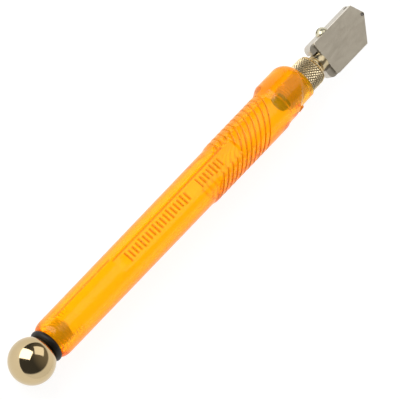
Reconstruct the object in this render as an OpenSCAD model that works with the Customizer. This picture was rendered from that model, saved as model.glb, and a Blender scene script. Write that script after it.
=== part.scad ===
// Oil-fed glass cutter with a transparent reservoir handle and a wide swivel head.
// Each module draws one piece along the tool's own axis, X, measured from the ball's centre.
// place() then moves it so that the tool lies level on z = 0, centred in plan.

/* [Ball cap] */
// Diameter of the ball
ball_d = 15.3; // [14:0.1:16]
// Diameter of the cap's threaded stem
cap_stem_d = 7.86; // [7.6:0.01:7.92]
// Where the stem ends inside the handle
cap_stem_end = 15.8; // [13:0.1:18]

/* [Handle] */
// Diameter of the barrel
barrel_d = 13.6; // [13:0.1:14]
// Diameter of the finger grip
grip_d = 14.5; // [14:0.1:14.8]
// Diameter of the eccentric nose
nose_d = 15.3; // [15:0.1:15.3]
// How far the nose is off the tool's axis
nose_shift = 1; // [0.6:0.1:1.2]
// Place of the handle's front rim
nose_end = 132.7; // [132:0.1:133]
// Diameter of the oil reservoir
reservoir_d = 8.8; // [8.4:0.1:9.2]
// Number of inclined grip grooves
groove_count = 11; // [8:1:11]
// Distance between grooves along the tool
groove_pitch = 2.3; // [2:0.05:2.4]
// Tilt of each groove's plane
groove_tilt = 37.5; // [28:0.5:40]

/* [Collar and valve] */
// Diameter of the knurled head of the collar
collar_d = 10.35; // [9.8:0.05:10.6]
// Diameter of the shaft where it slides in the collar
shaft_d = 4.4; // [4.2:0.1:4.5]
// Travel of the shaft when the wheel is pressed on glass
plunge = 1.2; // [0.6:0.1:1.2]

/* [Head] */
// Width of the head's face plate
head_w = 12.7; // [12:0.1:13]
// Thickness of the face plate
plate_t = 0.7; // [0.5:0.1:0.7]
// Height of the plate's face above the tool's axis
face_z = 2.1; // [2.1:0.05:2.2]
// Thickness of the head's body behind the plate
body_t = 3.5; // [3.4:0.1:3.8]
// Diameter of the cutting wheel
wheel_d = 2.5; // [2:0.1:2.6]
// Swivel of the head to each side, in degrees
swivel = 15; // [5:1:15]

/* [Hidden] */
$fn = 64;
fine = 128;
fit_gap = 0.05;
press_gap = 0.01;
cut = 1;

// Ball and its O-ring
ball_r = ball_d / 2;
ring_wire = 2.35;
ring_mid_r = 4.76;
ring_x = 7.07;
cap_flat_x = ring_x - ring_wire / 2 - 0.025;
cap_neck_r = ring_mid_r - ring_wire / 2 - 0.035;
cap_neck_end = 8.6;

// Handle
barrel_r = barrel_d / 2;
grip_r = grip_d / 2;
nose_r = nose_d / 2;
rear_x = ring_x + ring_wire / 2 + 0.025;
rear_round_len = 3.2;
rear_round_h = 1.5;
rear_bore_r = 4;
rear_bore_end = 19.3;
front_bore_len = 1.4;
grip_start = 88;
grip_end = 117;
nose_start = 120.5;
nose_full_end = 128.6;
rim_r = 5.3;
scoop_r = 5.8;
scoop_x = 128;
pip_x = 126.7;
pip_r = 1.4;
pip_h = 0.6;
pip_turn = 73;
flat_z = -7.4;
label_start = 40.8;
label_end = 98.8;
label_dist = 6.2;
label_turn = 24;
relief_h = 0.22;
relief_w = 0.5;
relief_pitch = 2.6;
relief_margin = 8;
relief_half = 1;
groove_first = 88.85;
groove_depth = 0.35;
groove_w = 0.5;

// Collar
collar_r = collar_d / 2;
front_bore_r = 3.95;
collar_stem_r = front_bore_r - fit_gap;
collar_back = 123.4;
front_bore_x = collar_back - front_bore_len;
collar_front = 139.7;
collar_head_x = nose_end + 0.04;
collar_bevel_x = 138.6;
collar_face_r = 3.6;
chamber_r = 3.2;
chamber_end = 130.5;
seal_wire = 0.85;
seal_r = 4.4;
seal_pocket_r = 4.9;
seal_pocket_x = nose_end - 0.95;
shaft_ring_wire = 0.96;
shaft_ring_r = 2.72;
shaft_ring_x = 136.6;
shaft_ring_w = 1.2;

// Shaft and valve
shaft_r = shaft_d / 2;
tail_r = 1.5;
tail_x = collar_back - 0.02;
flange_r = 3.1;
flange_x = 129.3;
flange_t = 1.15;
neck_r = 3.1;
neck_x = collar_front + plunge + 0.2;
neck_end = 143.5;
pivot_r = 1.2;
pivot_end = 152.2;
oil_r = 0.4;
oil_hole_x = collar_back + 4.1;
seat_len = 1.8;
seat_hole_r = 1.9;
poppet_r = 2.8;
poppet_t = 1;
poppet_pin_r = 0.8;
poppet_pin_len = 3.2;
washer_t = 0.74;
washer_x = tail_x - washer_t - press_gap;
spring_wire_r = 0.25;
spring_mid_r = 2.35;
spring_turns = 4;
spring_start = collar_back + seat_len + spring_wire_r + 0.02;
spring_end = flange_x - spring_wire_r - 0.02;
wick_r = 0.32;
wick_start = collar_back + 4.7;
wick_end = 159;

// Head
half_w = head_w / 2;
head_shift = -0.35;
plate_back = 143.8;
plate_z = face_z - plate_t;
tip_x = 164.5;
tip_y = 1.15;
upper_corner_x = 162.3;
lower_corner_x = 158.7;
body_back = 141.5;
body_z = plate_z - body_t;
lobe_round = 1.7;
plate_round = 1.1;
slot_half = neck_r + 0.15;
slot_end = 143.9;
channel_r = 0.5;
wheel_r = wheel_d / 2;
wheel_t = 0.9;
wheel_x = tip_x - 0.9;
wheel_bevel = 0.45;
wheel_slot_t = 1.1;
wheel_slot_x = 160.6;
axle_r = 0.4;
axle_window_r = 0.62;
axle_sink = 0.15;

// Lock screw
screw_x = 149.4;
screw_r = 2.1;
screw_h = 1.6;
screw_shank_r = 1.1;
screw_tip_r = 0.5;
screw_tip_y = 0.95;
screw_seat_y = half_w + head_shift + 0.05;
screw_slot_w = 0.6;
screw_slot_d = 0.7;
pivot_flat_y = screw_tip_y * cos(swivel) - screw_tip_r * sin(swivel) - 0.08;
pivot_flat_len = 2;

function arc(cx, cr, a, b, from, to, n = 12) =
    [for (i = [0:n]) let (t = from + (to - from) * i / n) [cr + b * sin(t), cx + a * cos(t)]];

module place() {
    mid_x = (wheel_x + wheel_r - ball_r) / 2;
    mid_y = (nose_shift + nose_r - ball_r) / 2;
    translate([-mid_x, -mid_y, ball_r]) children();
}

// A solid turned about X: points are [radius, x]
module turned(points, facets = fine) {
    rotate([0, 90, 0]) rotate_extrude($fn = facets) polygon(points);
}

module rod(r, from, to, facets = $fn) {
    translate([from, 0, 0]) rotate([0, 90, 0]) cylinder(r = r, h = to - from, $fn = facets);
}

module ring(mid_r, wire, x) {
    translate([x, 0, 0]) rotate([0, 90, 0])
        rotate_extrude($fn = fine) translate([mid_r, 0]) circle(d = wire, $fn = 32);
}

// What a convex corner of radius r loses: the corner is at the origin, the solid lies in +x +y
module corner_loss(r) {
    difference() {
        translate([-cut, -cut]) square(r + cut);
        translate([r, r]) circle(r = r);
    }
}

// ---- handle ----

module barrel_form() {
    turned(concat([[0, rear_x]],
        arc(rear_x + rear_round_len, barrel_r - rear_round_h, rear_round_len, rear_round_h, 180, 90),
        [[barrel_r, grip_end], [0, grip_end]]));
}

// Half space ahead of a plane that is tilted like the grooves
module ahead_of(x) {
    side = 60;
    translate([x, 0, 0]) rotate([0, 0, -groove_tilt])
        translate([0, -side / 2, -side / 2]) cube([side, side, side]);
}

module grip_form() {
    intersection() {
        rod(grip_r, grip_start - 15, nose_start + 4, fine);
        ahead_of(grip_start);
    }
}

module nose_form() {
    translate([0, nose_shift, 0]) turned(concat(
        [[0, grip_end], [grip_r - nose_shift, grip_end], [nose_r, nose_start]],
        arc(nose_full_end, rim_r - nose_shift, nose_end - nose_full_end,
            nose_r - rim_r + nose_shift, 90, 0),
        [[0, nose_end]]));
}

// The hollow for the index finger: ahead of a tilted plane the nose is thinner on this side
module finger_flat() {
    difference() {
        ahead_of(scoop_x);
        rod(scoop_r, grip_end, nose_end + cut, fine);
        translate([grip_end, 0, -nose_d]) cube([2 * nose_d, nose_d, 2 * nose_d]);
    }
}

// Low pip in the hollow
module finger_pip() {
    rotate([pip_turn, 0, 0]) translate([pip_x, 0, scoop_r - cut])
        cylinder(r = pip_r, h = cut + pip_h);
}

module grip_grooves() {
    side = 3 * nose_d;
    difference() {
        for (i = [0:groove_count - 1])
            translate([groove_first + i * groove_pitch, 0, 0]) rotate([0, 0, -groove_tilt])
                translate([0, -side / 2, -side / 2]) cube([groove_w, side, side]);
        rod(grip_r - groove_depth, grip_start - 20, nose_end, fine);
        translate([nose_start + 1, -nose_d, -nose_d]) cube(2 * nose_d);
    }
}

module label_flat() {
    rotate([-label_turn, 0, 0])
        translate([label_start, -barrel_d, label_dist])
            cube([label_end - label_start, 2 * barrel_d, barrel_d]);
}

// Plain moulded bars along the label flat
module label_relief() {
    bars = floor((grip_start - label_start - 2 * relief_margin) / relief_pitch);
    rotate([-label_turn, 0, 0])
        for (i = [0:bars])
            translate([label_start + relief_margin + i * relief_pitch, -relief_half,
                       label_dist - relief_h])
                cube([relief_w, 2 * relief_half, 2 * relief_h]);
}

module flattened_barrel() {
    difference() {
        union() {
            barrel_form();
            grip_form();
        }
        label_flat();
    }
}

module handle() color([1, 0.68, 0.1, 0.8]) place() {
    difference() {
        union() {
            difference() {
                union() {
                    flattened_barrel();
                    label_relief();
                    nose_form();
                }
                finger_flat();
            }
            finger_pip();
        }
        grip_grooves();
        rod(rear_bore_r, rear_x - cut, rear_bore_end, fine);
        rod(reservoir_d / 2, rear_bore_end - press_gap, front_bore_x + press_gap, fine);
        rod(front_bore_r, front_bore_x, nose_end + cut, fine);
        rod(seal_pocket_r, seal_pocket_x, nose_end + cut, fine);
        translate([grip_end - 10, -nose_d, flat_z - nose_d]) cube([40, 2 * nose_d, nose_d]);
    }
}

// ---- ball cap ----

module ball_cap() color([0.84, 0.76, 0.58]) place() {
    difference() {
        sphere(d = ball_d, $fn = fine);
        translate([cap_flat_x, -ball_d, -ball_d]) cube(2 * ball_d);
    }
    rod(cap_neck_r, cap_flat_x - cut, cap_neck_end, fine);
    rod(cap_stem_d / 2, cap_neck_end, cap_stem_end, fine);
}

module cap_o_ring() color([0.08, 0.08, 0.09]) place() {
    ring(ring_mid_r, ring_wire, ring_x);
}

// ---- collar and valve ----

module collar() color([0.75, 0.69, 0.51]) place() {
    difference() {
        turned([[0, collar_back], [collar_stem_r, collar_back], [collar_stem_r, collar_head_x],
                [collar_r, collar_head_x], [collar_r, collar_bevel_x],
                [collar_face_r, collar_front], [0, collar_front]]);
        rod(chamber_r, collar_back - cut, chamber_end, fine);
        rod(shaft_r + fit_gap, chamber_end - cut, collar_front + cut, fine);
        rod(shaft_ring_r + shaft_ring_wire / 2 + press_gap, shaft_ring_x - shaft_ring_w / 2,
            shaft_ring_x + shaft_ring_w / 2, fine);
    }
}

module collar_seal() color([0.1, 0.1, 0.1]) place() {
    ring(seal_r, seal_wire, (seal_pocket_x + collar_head_x) / 2);
}

module valve_seat() color([0.78, 0.68, 0.4]) place() {
    difference() {
        rod(chamber_r - press_gap, collar_back, collar_back + seat_len, fine);
        rod(seat_hole_r, collar_back - cut, collar_back + seat_len + cut, fine);
    }
}

// One closed coil of wire, swept round the shaft's tail
module valve_spring() color([0.72, 0.72, 0.74]) place() {
    sides = 8;
    steps = 20;
    rings = spring_turns * steps;
    rise = (spring_end - spring_start) / rings;
    points = [for (i = [0:rings]) let (a = 360 * i / steps) for (j = [0:sides - 1])
        let (b = 360 * j / sides, r = spring_mid_r + spring_wire_r * cos(b))
        [spring_start + rise * i + spring_wire_r * sin(b), r * cos(a), r * sin(a)]];
    walls = [for (i = [0:rings - 1]) for (j = [0:sides - 1]) let (k = (j + 1) % sides)
        [i * sides + j, i * sides + k, (i + 1) * sides + k, (i + 1) * sides + j]];
    first = [for (j = [0:sides - 1]) sides - 1 - j];
    last = [for (j = [0:sides - 1]) rings * sides + j];
    polyhedron(points, concat([first], walls, [last]));
}

module valve_poppet() color([0.7, 0.7, 0.72]) place() {
    rod(poppet_r, washer_x - poppet_t - press_gap, washer_x - press_gap, fine);
    rod(poppet_pin_r, washer_x - cut / 2, washer_x + poppet_pin_len);
}

module valve_washer() color([0.12, 0.12, 0.12]) place() {
    difference() {
        rod(poppet_r - 0.1, washer_x, washer_x + washer_t, fine);
        rod(poppet_pin_r + press_gap, washer_x - cut, washer_x + washer_t + cut);
    }
}

module shaft() color([0.82, 0.74, 0.46]) place() {
    difference() {
        union() {
            rod(tail_r, tail_x, flange_x + cut / 2, fine);
            rod(flange_r, flange_x, flange_x + flange_t, fine);
            rod(shaft_r, flange_x + flange_t - cut / 2, neck_x + cut / 2, fine);
            rod(neck_r, neck_x, neck_end, fine);
            rod(pivot_r, neck_end - cut / 2, pivot_end, fine);
        }
        rod(poppet_pin_r + press_gap, tail_x - cut, washer_x + poppet_pin_len + 0.4);
        rod(oil_r, tail_x, pivot_end + cut);
        translate([oil_hole_x, 0, -flange_r]) cylinder(r = oil_r, h = 2 * flange_r);
        translate([screw_x - pivot_flat_len / 2, pivot_flat_y, -pivot_r - cut])
            cube([pivot_flat_len, pivot_r + cut, 2 * (pivot_r + cut)]);
    }
}

module shaft_o_ring() color([0.1, 0.1, 0.1]) place() {
    ring(shaft_ring_r, shaft_ring_wire, shaft_ring_x);
}

module wick() color([0.93, 0.9, 0.82]) place() {
    rod(wick_r, wick_start, wick_end);
}

// ---- head ----

// Outline of the head: square at the back and brought to an off-centre point at the front
module head_outline(back, round_r) {
    low = head_shift - half_w;
    high = head_shift + half_w;
    difference() {
        polygon([[back, low], [lower_corner_x, low], [tip_x, tip_y], [upper_corner_x, high],
                 [back, high]]);
        translate([back, low]) corner_loss(round_r);
        translate([back, high]) mirror([0, 1]) corner_loss(round_r);
    }
}

module head_body() color([0.66, 0.64, 0.6]) place() {
    difference() {
        translate([0, 0, body_z]) linear_extrude(body_t)
            head_outline(body_back, lobe_round);
        translate([body_back - cut, -slot_half, body_z - cut])
            cube([slot_end - body_back + cut, 2 * slot_half, body_t + 2 * cut]);
        rod(pivot_r + fit_gap, body_back - cut, pivot_end + 0.2, fine);
        rod(channel_r, pivot_end, wheel_slot_x + cut);
        translate([wheel_slot_x, -head_w, -wheel_slot_t / 2])
            cube([head_w, 2 * head_w, wheel_slot_t]);
        translate([wheel_x, tip_y, body_z - cut])
            cylinder(r = axle_r + 0.02, h = body_t + 2 * cut);
        translate([screw_x, 0, 0]) rotate([-90, 0, 0])
            cylinder(r = screw_shank_r + fit_gap, h = head_w);
    }
}

module head_plate() color([0.68, 0.66, 0.62]) place() {
    difference() {
        translate([0, 0, plate_z]) linear_extrude(plate_t)
            head_outline(plate_back, plate_round);
        translate([wheel_x, tip_y, plate_z - cut])
            cylinder(r = axle_window_r, h = plate_t + 2 * cut);
    }
}

module lock_screw() color([0.8, 0.76, 0.52]) place() {
    dome_r = (screw_r * screw_r + screw_h * screw_h) / (2 * screw_h);
    translate([screw_x, 0, 0]) rotate([-90, 0, 0]) {
        difference() {
            intersection() {
                translate([0, 0, screw_seat_y]) cylinder(r = screw_r, h = screw_h, $fn = fine);
                translate([0, 0, screw_seat_y + screw_h - dome_r]) sphere(r = dome_r, $fn = fine);
            }
            translate([-screw_r - cut, -screw_slot_w / 2, screw_seat_y + screw_h - screw_slot_d])
                cube([2 * (screw_r + cut), screw_slot_w, screw_slot_d + cut]);
        }
        translate([0, 0, screw_tip_y + cut])
            cylinder(r = screw_shank_r, h = screw_seat_y - screw_tip_y - cut + screw_slot_d / 2);
        translate([0, 0, screw_tip_y]) cylinder(r = screw_tip_r, h = 1.5 * cut);
    }
}

module cutting_wheel() color([0.3, 0.3, 0.32]) place() {
    translate([wheel_x, tip_y, 0]) rotate_extrude($fn = 96)
        polygon([[axle_r + fit_gap, -wheel_t / 2], [wheel_r - wheel_bevel, -wheel_t / 2],
                 [wheel_r, 0], [wheel_r - wheel_bevel, wheel_t / 2],
                 [axle_r + fit_gap, wheel_t / 2]]);
}

module wheel_axle() color([0.8, 0.8, 0.8]) place() {
    translate([wheel_x, tip_y, body_z]) cylinder(r = axle_r, h = face_z - axle_sink - body_z);
}

handle();
ball_cap();
cap_o_ring();
collar();
collar_seal();
valve_seat();
valve_spring();
valve_poppet();
valve_washer();
shaft();
shaft_o_ring();
wick();
head_body();
head_plate();
lock_screw();
cutting_wheel();
wheel_axle();
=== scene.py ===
import math
import bpy
import bmesh
import numpy as np
from mathutils import Matrix, Vector


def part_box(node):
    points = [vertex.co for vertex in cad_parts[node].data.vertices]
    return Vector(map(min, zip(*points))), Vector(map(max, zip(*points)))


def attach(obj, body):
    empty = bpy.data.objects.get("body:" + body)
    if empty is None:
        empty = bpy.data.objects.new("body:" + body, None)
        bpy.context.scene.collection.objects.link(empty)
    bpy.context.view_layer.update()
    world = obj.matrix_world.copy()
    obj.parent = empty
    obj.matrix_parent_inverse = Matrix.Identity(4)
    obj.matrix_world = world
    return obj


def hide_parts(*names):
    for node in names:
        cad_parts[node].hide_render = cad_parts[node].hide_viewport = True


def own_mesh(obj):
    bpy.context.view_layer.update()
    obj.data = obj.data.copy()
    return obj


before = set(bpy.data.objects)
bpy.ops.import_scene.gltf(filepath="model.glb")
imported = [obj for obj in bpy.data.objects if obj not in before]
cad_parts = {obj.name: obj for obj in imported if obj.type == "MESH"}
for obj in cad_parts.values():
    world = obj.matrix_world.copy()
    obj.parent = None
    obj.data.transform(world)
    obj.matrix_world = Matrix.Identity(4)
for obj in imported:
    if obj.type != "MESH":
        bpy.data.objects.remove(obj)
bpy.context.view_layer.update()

MM = 0.001
CAP_PITCH, COLLAR_PITCH = 1.25, 1.0     # pitches of the cap's and the collar's threads
THREAD_STEPS = 8                        # rings to each turn of a thread
FULL_TURN = 2 * math.pi

# The tool's own axes: x runs along the tool from the ball's centre, in millimetres.
cap_lo, cap_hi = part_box("ball_cap")
BALL_R = (cap_hi.z - cap_lo.z) / 2 / MM
BALL = Vector((cap_lo.x + BALL_R * MM, (cap_lo.y + cap_hi.y) / 2, (cap_lo.z + cap_hi.z) / 2))


def span(node):
    """Start and end of a CAD node along the tool, and its radius, in millimetres."""
    lo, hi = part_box(node)
    return (lo.x - BALL.x) / MM, (hi.x - BALL.x) / MM, (hi.y - lo.y) / 2 / MM


def place(x, y, z):
    """A point in the tool's own axes, in metres in the row frame."""
    return (BALL.x + x * MM, BALL.y + y * MM, BALL.z + z * MM)


# ---- camera, light and floor ----

def set_camera():
    """A long lens that looks down on the tool from behind the ball, with the tool rising to the right."""
    to_viewer = Vector((-0.423, 0.265, 0.866)).normalized()
    along = Vector((0.906, 0.1234, 0.404))
    along = (along - along.dot(to_viewer) * to_viewer).normalized()
    across = to_viewer.cross(along)
    slope = math.radians(46.2)
    right = math.cos(slope) * along - math.sin(slope) * across
    up = math.sin(slope) * along + math.cos(slope) * across
    distance, frame_width = 5.0, 0.1246
    aim = Vector(BALL) + (72.0 * along - 3.04 * across - 34 * to_viewer) * MM
    data = bpy.data.cameras.new("camera")
    data.sensor_width = 36
    data.lens = data.sensor_width * distance / frame_width
    data.clip_start, data.clip_end = 0.1, 20
    cam = bpy.data.objects.new("camera", data)
    bpy.context.scene.collection.objects.link(cam)
    axes = Matrix((right, up, to_viewer)).transposed().to_4x4()
    cam.matrix_world = Matrix.Translation(aim + to_viewer * distance) @ axes
    bpy.context.scene.camera = cam


def area_light(name, place_at, aim, size, power, colour=(1, 1, 1)):
    data = bpy.data.lights.new(name, "AREA")
    data.shape, data.size, data.size_y = "RECTANGLE", size[0], size[1]
    data.energy, data.color = power, colour
    light = bpy.data.objects.new(name, data)
    bpy.context.scene.collection.objects.link(light)
    light.location = place_at
    light.rotation_mode = "QUATERNION"
    light.rotation_quaternion = (Vector(aim) - Vector(place_at)).to_track_quat("-Z", "Y")


def facing(tree, direction):
    """How far a point of the sky lies towards a direction, from -1 to 1."""
    coords = tree.nodes.new("ShaderNodeTexCoord")
    node = tree.nodes.new("ShaderNodeVectorMath")
    node.operation = "DOT_PRODUCT"
    node.inputs[1].default_value = direction
    tree.links.new(coords.outputs["Generated"], node.inputs[0])
    return node.outputs["Value"]


def set_light():
    """Two soft boxes under a dim ceiling, so that metal shows bright panels in a dark field."""
    bpy.context.scene.view_settings.view_transform = "Standard"
    world = bpy.data.worlds.new("studio")
    world.use_nodes = True
    tree = world.node_tree
    dome = ramp(tree, facing(tree, (-0.17, 0.58, 0.80)), 0.95, 0.06, -0.13, 0.12)
    spill = ramp(tree, facing(tree, (0.71, -0.13, 0.69)), 0.0, (0.19, 0.165, 0.125), 0.35, 1.0)
    both = tree.nodes.new("ShaderNodeVectorMath")
    both.operation = "ADD"
    tree.links.new(dome, both.inputs[0])
    tree.links.new(spill, both.inputs[1])
    tree.links.new(both.outputs["Vector"], tree.nodes["Background"].inputs["Color"])
    bpy.context.scene.world = world
    area_light("key", (-0.20, 0.55, 0.28), (0, 0, 0), (0.52, 0.66), 3.7)
    area_light("fill", (0.42, 0.28, 0.56), (0, 0, 0), (0.60, 0.60), 1.4)


def set_floor():
    """A white sheet that also glows a little, like a product table lit from below."""
    bpy.ops.mesh.primitive_plane_add(size=6, location=(0, 0, 0))
    floor = bpy.context.active_object
    floor.name = "floor"
    mat, tree, shader = new_material("floor_white", Roughness=0.9, Emission_Strength=0.86)
    shader.inputs["Base Color"].default_value = (0.3, 0.3, 0.3, 1)
    shader.inputs["Emission Color"].default_value = (1, 1, 1, 1)
    floor.data.materials.append(mat)


# ---- mesh helpers ----

def finish_mesh(bm, name, body, mat, sharp=35, nodes=()):
    """Turns a bmesh in the tool's axes into a piece that rides on a body."""
    for v in bm.verts:
        v.co = place(*v.co)
    bmesh.ops.recalc_face_normals(bm, faces=bm.faces)
    me = bpy.data.meshes.new(name)
    bm.to_mesh(me)
    bm.free()
    for f in me.polygons:
        f.use_smooth = True
    me.set_sharp_from_angle(angle=math.radians(sharp))
    ob = bpy.data.objects.new(name, me)
    bpy.context.scene.collection.objects.link(ob)
    me.materials.append(mat)
    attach(ob, body)
    if nodes:
        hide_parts(*nodes)
    return ob


def skin(bm, rings, turns, loop=False):
    """Quads between rings of points round the tool's axis.

    A ring is (x, r), and each of the two is one number or one number per angle.
    """
    rows = []
    for x, r in rings:
        x, r = np.broadcast_to(x, turns.shape), np.broadcast_to(r, turns.shape)
        if np.max(r) < 1e-6:
            rows.append([bm.verts.new((float(x[0]), 0, 0))])
        else:
            pts = np.stack([x, r * np.cos(turns), r * np.sin(turns)], 1)
            rows.append([bm.verts.new(p) for p in pts.tolist()])
    pairs = list(zip(rows, rows[1:])) + ([(rows[-1], rows[0])] if loop else [])
    n = len(turns)
    for a, b in pairs:
        for i in range(n):
            j = (i + 1) % n
            if len(a) == 1:
                bm.faces.new((a[0], b[i], b[j]))
            elif len(b) == 1:
                bm.faces.new((a[i], b[0], a[j]))
            else:
                bm.faces.new((a[i], b[i], b[j], a[j]))


def even_turns(count):
    return np.arange(count) * 2 * math.pi / count


def arc(cx, cr, a, b, start, end, count):
    """Points (x, r) along an elliptical arc, angles in degrees from the x direction."""
    steps = np.radians(np.linspace(start, end, count))
    return [(cx + a * math.cos(t), cr + b * math.sin(t)) for t in steps]


def wave(v):
    """A triangle wave of period 1: 0 at whole numbers and 1 half way between."""
    return 1 - np.abs(2 * (v - np.floor(v)) - 1)


def thread(x, turns, root, crest, pitch):
    """Radius of a right-handed thread with rounded flanks."""
    return root + (crest - root) * np.clip(1.3 * wave(x / pitch - turns / (2 * math.pi)) - 0.15, 0, 1)


def ease(v, start, end):
    t = np.clip((v - start) / (end - start), 0, 1)
    return t * t * (3 - 2 * t)


# ---- materials ----

DULL_BRASS = (0.58, 0.375, 0.125, 1)
GRIME_AND_SHADE = 0.36                            # brightness left where metal is grimy and where painted shade darkens the knurl valleys


def new_material(name, **values):
    mat = bpy.data.materials.new(name)
    mat.use_nodes = True
    shader = mat.node_tree.nodes["Principled BSDF"]
    for key, value in values.items():
        shader.inputs[key.replace("_", " ")].default_value = value
    return mat, mat.node_tree, shader


def grain(tree, scale, detail=4, stretch=(1, 1, 1)):
    """Noise in the object's own metres, returned as its factor socket."""
    coords = tree.nodes.new("ShaderNodeTexCoord")
    mapping = tree.nodes.new("ShaderNodeMapping")
    mapping.inputs["Scale"].default_value = stretch
    noise = tree.nodes.new("ShaderNodeTexNoise")
    noise.inputs["Scale"].default_value = scale
    noise.inputs["Detail"].default_value = detail
    tree.links.new(coords.outputs["Object"], mapping.inputs["Vector"])
    tree.links.new(mapping.outputs["Vector"], noise.inputs["Vector"])
    return noise.outputs["Fac"]


def ramp(tree, source, low, high, start=0.3, end=0.7):
    """Colour or grey between low and high as source goes from start to end."""
    node = tree.nodes.new("ShaderNodeValToRGB")
    node.color_ramp.elements[0].position = start
    node.color_ramp.elements[1].position = end
    node.color_ramp.elements[0].color = (*low, 1) if isinstance(low, tuple) else (low, low, low, 1)
    node.color_ramp.elements[1].color = (*high, 1) if isinstance(high, tuple) else (high, high, high, 1)
    tree.links.new(source, node.inputs["Fac"])
    return node.outputs["Color"]


def bump(tree, shader, source, strength, distance):
    node = tree.nodes.new("ShaderNodeBump")
    node.inputs["Strength"].default_value = strength
    node.inputs["Distance"].default_value = distance
    tree.links.new(source, node.inputs["Height"])
    tree.links.new(node.outputs["Normal"], shader.inputs["Normal"])


def metal(name, low, high, rough, rough_worn, scale, stretch=(1, 1, 1), strength=0.1, raw=None,
          cavity=None):
    """Metal with fine grain.

    raw gives two places along the tool, in millimetres: the metal turns dull from one to the other.
    cavity gives two distances from the tool's axis and a place along it: before that place the metal is
    grimy and darkened by painted shade inside the first distance.
    """
    mat, tree, shader = new_material(name, Metallic=1.0)
    fine = grain(tree, scale, 6, stretch)
    wide = grain(tree, scale / 12, 3)
    colour = ramp(tree, wide, low, high)
    roughness = ramp(tree, fine, rough, rough_worn)
    if cavity:
        inner, outer, end = cavity
        # knurl valleys: part grime, part painted shade for the light the valleys lose
        grime_and_shade = ramp(tree, axis_distance(tree, inner, outer), GRIME_AND_SHADE, 1.0, 0.0, 1.0)
        unmarked_ahead = mix(tree, along_mask(tree, end - 0.6, end), grime_and_shade, (1, 1, 1, 1))
        colour = multiply(tree, colour, unmarked_ahead)
    if raw:
        dull = along_mask(tree, *raw)
        colour = mix(tree, dull, colour, DULL_BRASS)
        roughness = mix(tree, dull, roughness, (0.6, 0.6, 0.6, 1))
    tree.links.new(colour, shader.inputs["Base Color"])
    tree.links.new(roughness, shader.inputs["Roughness"])
    bump(tree, shader, fine, strength, 0.00002)
    return mat


def axis_distance(tree, inner, outer):
    """0 where the distance from the tool's axis is inner, in millimetres, and 1 where it is outer."""
    coords = tree.nodes.new("ShaderNodeTexCoord")
    centre = tree.nodes.new("ShaderNodeVectorMath")
    centre.operation = "SUBTRACT"
    centre.inputs[1].default_value = place(0, 0, 0)
    flatten = tree.nodes.new("ShaderNodeVectorMath")
    flatten.operation = "MULTIPLY"
    flatten.inputs[1].default_value = (0, 1, 1)
    length = tree.nodes.new("ShaderNodeVectorMath")
    length.operation = "LENGTH"
    reach = tree.nodes.new("ShaderNodeMapRange")
    reach.inputs["From Min"].default_value = inner * MM
    reach.inputs["From Max"].default_value = outer * MM
    tree.links.new(coords.outputs["Object"], centre.inputs[0])
    tree.links.new(centre.outputs["Vector"], flatten.inputs[0])
    tree.links.new(flatten.outputs["Vector"], length.inputs[0])
    tree.links.new(length.outputs["Value"], reach.inputs["Value"])
    return reach.outputs["Result"]


def multiply(tree, first, second):
    node = tree.nodes.new("ShaderNodeMixRGB")
    node.blend_type = "MULTIPLY"
    node.inputs["Fac"].default_value = 1
    tree.links.new(first, node.inputs["Color1"])
    tree.links.new(second, node.inputs["Color2"])
    return node.outputs["Color"]


def along_mask(tree, start, end):
    """0 at the place start along the tool, in millimetres, and 1 at end."""
    coords = tree.nodes.new("ShaderNodeTexCoord")
    split = tree.nodes.new("ShaderNodeSeparateXYZ")
    span_map = tree.nodes.new("ShaderNodeMapRange")
    span_map.inputs["From Min"].default_value = place(start, 0, 0)[0]
    span_map.inputs["From Max"].default_value = place(end, 0, 0)[0]
    tree.links.new(coords.outputs["Object"], split.inputs["Vector"])
    tree.links.new(split.outputs["X"], span_map.inputs["Value"])
    return span_map.outputs["Result"]


def mix(tree, factor, source, target):
    """Source where factor is 0, the fixed value target where it is 1."""
    node = tree.nodes.new("ShaderNodeMixRGB")
    tree.links.new(factor, node.inputs["Fac"])
    tree.links.new(source, node.inputs["Color1"])
    node.inputs["Color2"].default_value = target
    return node.outputs["Color"]


def amber_plastic(name, rough, rough_worn, low, high, glow, clear=0.88):
    """Slightly cloudy amber plastic with an uneven moulded surface.

    The faint glow stands for light scattered inside. The refractive index is lower than a real
    plastic's, which keeps the edges from mirroring the white floor.
    """
    mat, tree, shader = new_material(name, IOR=1.33, Transmission_Weight=clear, Specular_IOR_Level=0.1,
                                     Emission_Strength=glow)
    shader.inputs["Emission Color"].default_value = (1.0, 0.44, 0.0, 1)
    wide = grain(tree, 60, 3, (0.3, 1, 1))
    tree.links.new(ramp(tree, wide, low, high), shader.inputs["Base Color"])
    fine = grain(tree, 900, 4)
    tree.links.new(ramp(tree, fine, rough, rough_worn), shader.inputs["Roughness"])
    bump(tree, shader, wide, 0.05, 0.0002)
    soak = tree.nodes.new("ShaderNodeVolumeAbsorption")
    soak.inputs["Color"].default_value = (1.0, 0.925, 0.2, 1)
    soak.inputs["Density"].default_value = 1400
    out = tree.nodes["Material Output"]
    tree.links.new(soak.outputs["Volume"], out.inputs["Volume"])
    return mat


def rubber(name, low, high):
    mat, tree, shader = new_material(name, Specular_IOR_Level=0.3)
    fine = grain(tree, 1500, 5)
    tree.links.new(ramp(tree, fine, low, high), shader.inputs["Base Color"])
    tree.links.new(ramp(tree, fine, 0.35, 0.5), shader.inputs["Roughness"])
    bump(tree, shader, fine, 0.15, 0.00005)
    return mat


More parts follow.
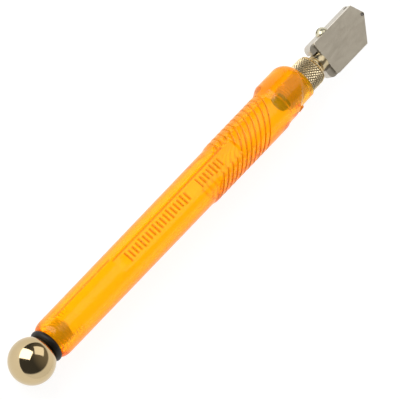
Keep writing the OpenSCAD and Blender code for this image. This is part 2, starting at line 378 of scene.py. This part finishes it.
def cotton():
    mat, tree, shader = new_material("wick_cotton", Roughness=0.9, Sheen_Weight=0.3)
    twist = tree.nodes.new("ShaderNodeTexWave")
    twist.inputs["Scale"].default_value = 400
    twist.inputs["Distortion"].default_value = 2
    coords = tree.nodes.new("ShaderNodeTexCoord")
    tree.links.new(coords.outputs["Object"], twist.inputs["Vector"])
    tree.links.new(ramp(tree, twist.outputs["Fac"], (0.55, 0.42, 0.24), (0.8, 0.7, 0.5)),
                   shader.inputs["Base Color"])
    bump(tree, shader, twist.outputs["Fac"], 0.5, 0.0001)
    return mat


AMBER = amber_plastic("amber_plastic", 0.12, 0.2, (0.97, 0.85, 0.006), (0.985, 0.885, 0.012), 0.10)
# darker amber for the faces of the grip grooves, the label bars and the pip's hollow: painted shade for the
# shading of that relief
AMBER_GROOVE_SHADE = amber_plastic("amber_groove_shade", 0.25, 0.35, (0.76, 0.46, 0.0), (0.82, 0.50, 0.01), 0.05, 0.62)
# darker amber for a line along the upper side of the barrel: painted shade at the edge of the label flat
AMBER_EDGE_SHADE = amber_plastic("amber_edge_shade", 0.2, 0.3, (0.94, 0.76, 0.0), (0.97, 0.80, 0.01), 0.09, 0.84)
RUBBER = rubber("black_rubber", (0.006, 0.005, 0.004), (0.014, 0.011, 0.008))
BROWN_RUBBER = rubber("brown_rubber", (0.40, 0.15, 0.02), (0.50, 0.20, 0.03))
COTTON = cotton()
BALL_BRASS = metal("polished_brass", (0.53, 0.41, 0.23), (0.62, 0.49, 0.29), 0.06, 0.12, 500,
                   strength=0.03, raw=(8.4, 8.8))
# cavity paints grime and painted shade into the knurl valleys
COLLAR_BRASS = metal("collar_brass", (0.74, 0.60, 0.37), (0.88, 0.735, 0.485), 0.22, 0.36, 900,
                     raw=(133, 132.6), cavity=(4.78, 5.1, 138.9))
SHAFT_BRASS = metal("shaft_brass", (0.52, 0.43, 0.27), (0.62, 0.53, 0.36), 0.16, 0.28, 700, (1, 0.1, 0.1))
NICKEL = metal("satin_nickel", (0.56, 0.525, 0.46), (0.63, 0.59, 0.52), 0.34, 0.46, 1600, (0.2, 1, 1))
# a lighter copy of the satin nickel: painted light on the plate, with the body's copy kept darker
PLATE_NICKEL_LIT = metal("plate_nickel_lit", (0.81, 0.755, 0.65), (0.92, 0.865, 0.75), 0.34, 0.46, 1600, (0.2, 1, 1))
SCREW_BRASS = metal("screw_brass", (0.56, 0.52, 0.37), (0.66, 0.62, 0.46), 0.28, 0.38, 800)
STEEL = metal("spring_steel", (0.42, 0.42, 0.43), (0.55, 0.55, 0.57), 0.2, 0.32, 1200)
DARK_STEEL = metal("dark_steel", (0.035, 0.033, 0.035), (0.09, 0.085, 0.085), 0.2, 0.35, 1200)
CARBIDE = metal("carbide", (0.10, 0.10, 0.11), (0.2, 0.2, 0.21), 0.25, 0.4, 2000)

# ---- handle ----

HANDLE_START, NOSE_END, _ = span("handle")
BARREL_R, BARREL_FRONT_R, GRIP_R = 6.74, 6.88, 7.26
NOSE_R, NOSE_SHIFT, RIM_R = 7.65, 1.0, 5.3
NOSE_FULL_END = 128.6
GROOVES, GROOVE_FIRST, GROOVE_PITCH = 11, 89.1, 2.3
GROOVE_LEAN = math.tan(math.radians(37.5))
GROOVE_DEPTH, GROOVE_HALF = 0.26, 0.25
GRIP_START = 88.0
LABEL = (40.8, 98.8, 6.2, math.radians(66))     # start, end, distance from the axis, angle from +Y
SCOOP_START, SCOOP_R = 128.0, 5.75
PIP = (126.3, math.radians(163), 0.6)           # place, angle from +Y and height of the pip in the hollow
SWELL_START, SWELL_END = 117.6, 121.0           # where the barrel widens into the nose
REAR_ROUND = 3.2                                # length of the rounding at the handle's back end
BAR_PITCH, BAR_H, BAR_HALF = 1.7, 0.24, 0.34    # BAR_HALF is half a bar's width at its foot
DENSE = (80, 118)                               # stretch with evenly spaced rings, for the grooves
LEAN_R = 7.0                                    # radius at which the lean of the grooves is measured
OUTSIDE_R = 5.05                                # faces beyond this radius are on the outside


def label_bars():
    """Places of the plain raised bars along the label flat, with half of each bar's length."""
    groups = ((45.6, 18), (80.6, 7))
    return [(start + BAR_PITCH * i, 1.8 if i % 4 == 0 else 1.4)
            for start, count in groups for i in range(count)]


def handle_turns():
    """Angles round the handle, close together across the label flat."""
    edge, wide_edge = math.acos(LABEL[2] / BARREL_R), math.acos(LABEL[2] / GRIP_R)
    flat = np.linspace(-edge, edge, 31)
    side = np.linspace(edge, wide_edge, 4)[1:]
    rest = np.linspace(wide_edge, 2 * math.pi - wide_edge, 110)[1:-1]
    back = -side[::-1]
    return np.concatenate([back, flat, side, rest]) + LABEL[3]


def nose_radius(turns, shift, r):
    return shift * np.cos(turns) + np.sqrt(r * r - (shift * np.sin(turns)) ** 2)


def groove_gap(x, turns):
    """Distance along the tool to the middle of the nearest grip groove."""
    steps = (x - GROOVE_LEAN * LEAN_R * np.cos(turns) - GROOVE_FIRST) / GROOVE_PITCH
    return np.abs(steps - np.clip(np.round(steps), 0, GROOVES - 1)) * GROOVE_PITCH


def handle_radius(x, turns):
    """Outer radius of the handle at x, for each angle."""
    lean_x = x - GROOVE_LEAN * LEAN_R * np.cos(turns)
    r = BARREL_R + (BARREL_FRONT_R - BARREL_R) * (x - HANDLE_START) / (GRIP_START - HANDLE_START)
    r = np.minimum(r, BARREL_FRONT_R)
    rear = np.clip((HANDLE_START + REAR_ROUND - x) / REAR_ROUND, 0, 1)
    r = r - 1.5 * (1 - np.sqrt(1 - rear ** 2))
    grip = ease(lean_x, GRIP_START - 1.6, GRIP_START + 1.0)
    r = r + (GRIP_R - r) * grip
    r = r - GROOVE_DEPTH * np.exp(-(groove_gap(x, turns) / GROOVE_HALF) ** 2)
    swell = ease(x, SWELL_START, SWELL_END)
    nose = nose_radius(turns, NOSE_SHIFT * swell, GRIP_R + (NOSE_R - GRIP_R) * swell)
    r = r + (nose - GRIP_R) * (swell > 0)
    front = np.clip((x - NOSE_FULL_END) / (NOSE_END - NOSE_FULL_END), 0, 1)
    r = RIM_R + (r - RIM_R) * np.sqrt(1 - front ** 2 * 0.999)
    past = lean_x - SCOOP_START
    scoop = SCOOP_R + 1.2 * np.exp(-np.maximum(past, 0) / 1.6)
    pip = ((turns - PIP[1] + math.pi) % (2 * math.pi) - math.pi) * SCOOP_R
    scoop = scoop + PIP[2] * (1 - ease(np.hypot(x - PIP[0], pip), 0.9, 1.5))
    r = np.where(past > 0, np.minimum(r, scoop), r)
    return label_cut(x, turns, r)


def from_label(turns):
    """Angle from the middle of the label flat, between -pi and pi."""
    return (turns - LABEL[3] + math.pi) % (2 * math.pi) - math.pi


def label_cut(x, turns, r):
    """Cuts the label flat and raises its bars."""
    start, end, dist, _ = LABEL
    off = from_label(turns)
    inside = ease(x, start, start + 0.25) * (1 - ease(x, end - 0.4, end))
    height = np.full(turns.shape, dist, float)
    across = dist * np.tan(np.clip(off, -1, 1))
    for bar_x, half in label_bars():
        along_in = 1 - ease(np.abs(x - bar_x), 0.14, BAR_HALF)
        across_in = 1 - ease(np.abs(across), half - 0.1, half + 0.12)
        height = height + BAR_H * along_in * across_in
    flat = np.where(np.abs(off) < 1.0, height / np.cos(np.clip(off, -1, 1)), 99)
    cut = np.minimum(r, flat)
    return r + (cut - r) * inside


def handle_stations():
    """Places of the rings along the outside, close together where the surface has detail."""
    out = list(HANDLE_START + REAR_ROUND * (1 - np.cos(np.linspace(0, math.pi / 2, 9))))
    out += list(np.linspace(out[-1] + 2, LABEL[0] - 0.4, 9))
    out += [LABEL[0] + d for d in (0, 0.08, 0.16, 0.25, 0.6)]
    for bar_x, _ in label_bars():
        out += [bar_x + d for d in (-0.36, -0.28, -0.2, -0.12, 0.12, 0.2, 0.28, 0.36) if bar_x < DENSE[0]]
    out += [77.0, 78.5]
    out += list(np.arange(*DENSE, 0.15))
    out += list(np.linspace(DENSE[1], NOSE_FULL_END - 0.3, 44))
    front = NOSE_END - NOSE_FULL_END
    out += list(NOSE_FULL_END + front * np.sin(np.linspace(0, math.pi / 2, 22)))
    return sorted(set(round(v, 4) for v in out if v <= NOSE_END))


def make_handle():
    turns = handle_turns()
    bore_r, rear_bore_end = 4.4, 19.3
    front_bore_start = span("collar")[0] - 1.4
    outside = []
    beside = ease(np.abs(from_label(turns)), 0.42, 0.8)
    for u in handle_stations():
        lean = ease(u, 62, 82) * beside + ease(u, 98, 106) * (1 - beside)
        x = u + GROOVE_LEAN * LEAN_R * np.cos(turns) * lean * (1 - ease(u, 115, NOSE_FULL_END))
        outside.append((x, handle_radius(x, turns)))
    seal_x = span("collar_seal")[0] - 0.05
    inside = [(NOSE_END, 4.95), (seal_x, 4.95), (seal_x, 4.2)]
    for x in np.arange(seal_x - 0.1, front_bore_start, -COLLAR_PITCH / THREAD_STEPS):
        deep = 0.12 * thread_reach(x)
        inside.append((x, thread(x, turns, 3.98, 3.98 + deep, COLLAR_PITCH)))
    inside += [(front_bore_start, 3.98), (front_bore_start - 0.4, bore_r), (90, bore_r), (55, bore_r),
               (rear_bore_end + 0.4, bore_r), (rear_bore_end, 4.05)]
    for x in np.arange(rear_bore_end - 0.2, HANDLE_START + 0.5, -CAP_PITCH / THREAD_STEPS):
        inside.append((x, thread(x, turns, 4.05, 4.2, CAP_PITCH)))
    inside += [(HANDLE_START + 0.35, 4.1), (HANDLE_START, 4.4)]
    bm = bmesh.new()
    skin(bm, outside + inside, turns, loop=True)
    for f in bm.faces:
        x, y, z = f.calc_center_median()
        if math.hypot(y, z) > OUTSIDE_R:
            # groove, bar and pip faces take the painted groove shade, and the line along the upper side takes
            # the painted edge shade
            f.material_index = 1 if on_line(x, y, z) else 2 * on_edge(x, y, z)
    ob = finish_mesh(bm, "handle_barrel", "handle", AMBER, 40, ["handle"])
    ob.data.materials.append(AMBER_GROOVE_SHADE)
    ob.data.materials.append(AMBER_EDGE_SHADE)


def on_line(x, y, z):
    """Whether a point of the outside lies in a grip groove, on a bar of the label or round the pip in the
    hollow; these faces get painted shade.
    """
    turns = math.atan2(z, y)
    off = from_label(turns)
    if x < LABEL[1] - 0.4 and abs(off) < math.acos(LABEL[2] / BARREL_FRONT_R):
        across = abs(LABEL[2] * math.tan(off))
        return any(abs(x - bar_x) < BAR_HALF and across < half + 0.1 for bar_x, half in label_bars())
    if x > PIP[0] - 1.6:
        return math.hypot(y, z) > SCOOP_R + 0.15 and math.hypot(x - PIP[0], (turns - PIP[1]) * SCOOP_R) < 1.5
    return groove_gap(x, turns) < 1.25 * GROOVE_HALF


def thread_reach(x):
    """How deep the collar's thread is cut: full depth over a few turns at its back end."""
    start = span("collar")[0] + 0.3
    return ease(x, start, start + 0.3) * (1 - ease(x, start + 2.4, start + 3.0))


def on_edge(x, y, z):
    """Whether a point of the outside lies on the line of painted shade that runs along the upper side of the
    barrel.
    """
    off = from_label(math.atan2(z, y))
    line = -0.59 if x < LABEL[0] else -math.acos(LABEL[2] / BARREL_R)
    return 14 < x < LABEL[1] - 4 and abs(off - line) < 0.035


# ---- ball cap and rings ----

def make_ball_cap():
    turns = even_turns(128)
    ring_lo, ring_hi, _ = span("cap_o_ring")
    _, stem_end, _ = span("ball_cap")
    flat_x = ring_lo - 0.025
    flat_angle = math.degrees(math.acos(flat_x / BALL_R))
    rings = arc(0, 0, BALL_R, BALL_R, 180, flat_angle + 1.5, 72)
    rings[0] = (-BALL_R, 0)
    neck_r, stem_start = 3.5, ring_hi + 0.4
    rings += [(flat_x, rings[-1][1] - 0.12), (flat_x, neck_r + 0.3), (flat_x + 0.25, neck_r),
              (ring_hi + 0.05, neck_r), (stem_start, 3.45)]
    for x in np.arange(stem_start + 0.1, stem_end - 0.6, CAP_PITCH / THREAD_STEPS):
        rings.append((x, thread(x, turns, 3.5, 3.9, CAP_PITCH)))
    rings += [(stem_end - 0.3, 3.2), (stem_end, 2.9), (stem_end, 0)]
    bm = bmesh.new()
    skin(bm, rings, turns)
    finish_mesh(bm, "ball_cap_turned", "cap", BALL_BRASS, 40, ["ball_cap"])


def make_o_ring(name, node, body, mat):
    lo, hi, outer = span(node)
    wire = (hi - lo) / 2
    rings = arc((lo + hi) / 2, outer - wire, wire, wire, 0, 345, 24)
    bm = bmesh.new()
    skin(bm, rings, even_turns(96), loop=True)
    finish_mesh(bm, name, body, mat, 60, [node])


# ---- collar ----

KNURL_H, KNURL_TEETH, KNURL_PITCH = 0.4, 34, 1.35


def make_collar():
    turns = even_turns(340)
    back, front, r = span("collar")
    head_x, bevel_x = NOSE_END + 0.04, 138.6
    seal_land_r, shaft_hole_r, pocket_r, pocket_end = 3.85, 2.27, 3.2, 130.5
    rings = []
    for x in np.arange(back + 0.3, head_x - 1.2, COLLAR_PITCH / THREAD_STEPS):
        cut = 0.25 * thread_reach(x)
        rings.append((x, thread(x, turns, 3.9 - cut, 3.9, COLLAR_PITCH)))
    rings += [(head_x - 1.0, seal_land_r), (head_x, seal_land_r), (head_x, r - 0.35)]
    for x in np.linspace(head_x + 0.12, bevel_x + 0.35, 60):
        rings.append((x, collar_radius(x, turns, r, head_x, bevel_x)))
    rings += arc(bevel_x + 0.35, 3.5, front - bevel_x - 0.35, 1.35, 84, 8, 9)
    rings += [(front, 2.5), (front - 0.15, shaft_hole_r), (pocket_end, shaft_hole_r),
              (pocket_end, pocket_r), (back, pocket_r), (back, 3.6)]
    bm = bmesh.new()
    skin(bm, rings, turns, loop=True)
    finish_mesh(bm, "collar_knurled", "handle", COLLAR_BRASS, 50, ["collar"])


def collar_radius(x, turns, r, head_x, bevel_x):
    """Diamond knurling between a short plain edge and the bevel."""
    around, along = KNURL_TEETH * turns / FULL_TURN, (x - head_x) / KNURL_PITCH
    diamond = np.minimum(wave(around + along), wave(around - along))
    fade = ease(x, head_x, head_x + 0.4)
    low = r - KNURL_H
    round_off = 0.5 * ease(x, bevel_x - 0.4, bevel_x + 0.5)
    return low + KNURL_H * np.clip(1.15 * diamond, 0, 1) * fade - round_off


# ---- valve spring ----

def make_spring():
    """A round wire coil."""
    lo, hi, outer = span("valve_spring")
    wire_r, coils, sides, steps = 0.25, 4, 12, 48
    mid_r, count = outer - wire_r, coils * steps
    free = hi - lo
    bm = bmesh.new()
    rows = []
    for i in range(count + 1):
        middle, a = lo + wire_r + (free - 2 * wire_r) * i / count, FULL_TURN * i / steps
        row = []
        for b in even_turns(sides):
            r = mid_r + wire_r * math.cos(b)
            row.append(bm.verts.new((middle + wire_r * math.sin(b), r * math.cos(a), r * math.sin(a))))
        rows.append(row)
    for near, far in zip(rows, rows[1:]):
        for j in range(sides):
            k = (j + 1) % sides
            bm.faces.new((near[j], near[k], far[k], far[j]))
    bm.faces.new(rows[0])
    bm.faces.new(rows[-1])
    ob = finish_mesh(bm, "valve_spring_coil", "handle", STEEL, 60, ["valve_spring"])
    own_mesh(ob)


# ---- CAD nodes that stay, with softened edges ----

def soften(node, mat, width=0.12, angle=40):
    """Merges a CAD node's split edges and rounds the sharp ones, without touching its mesh."""
    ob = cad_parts[node]
    ob.data.materials.clear()
    ob.data.materials.append(mat)
    weld = ob.modifiers.new("weld", "WELD")
    weld.merge_threshold = 1e-6
    if width:
        bevel = ob.modifiers.new("edges", "BEVEL")
        bevel.width, bevel.segments = width * MM, 3
        bevel.limit_method, bevel.angle_limit = "ANGLE", math.radians(angle)
        bevel.use_clamp_overlap = True
        bevel.harden_normals = True


set_camera()
set_light()
set_floor()
make_handle()
make_ball_cap()
make_o_ring("cap_ring_rubber", "cap_o_ring", "cap_ring", RUBBER)
make_o_ring("collar_seal_rubber", "collar_seal", "handle", BROWN_RUBBER)
make_o_ring("shaft_ring_rubber", "shaft_o_ring", "handle", RUBBER)
make_collar()
make_spring()
for node, mat, width in (("head_body", NICKEL, 0.15), ("head_plate", PLATE_NICKEL_LIT, 0.18),
                         ("lock_screw", SCREW_BRASS, 0.06), ("shaft", SHAFT_BRASS, 0.08),
                         ("cutting_wheel", CARBIDE, 0), ("wheel_axle", STEEL, 0.05),
                         ("valve_poppet", DARK_STEEL, 0.08),
                         ("valve_washer", RUBBER, 0.05), ("valve_seat", SHAFT_BRASS, 0.05),
                         ("wick", COTTON, 0)):
    soften(node, mat, width)
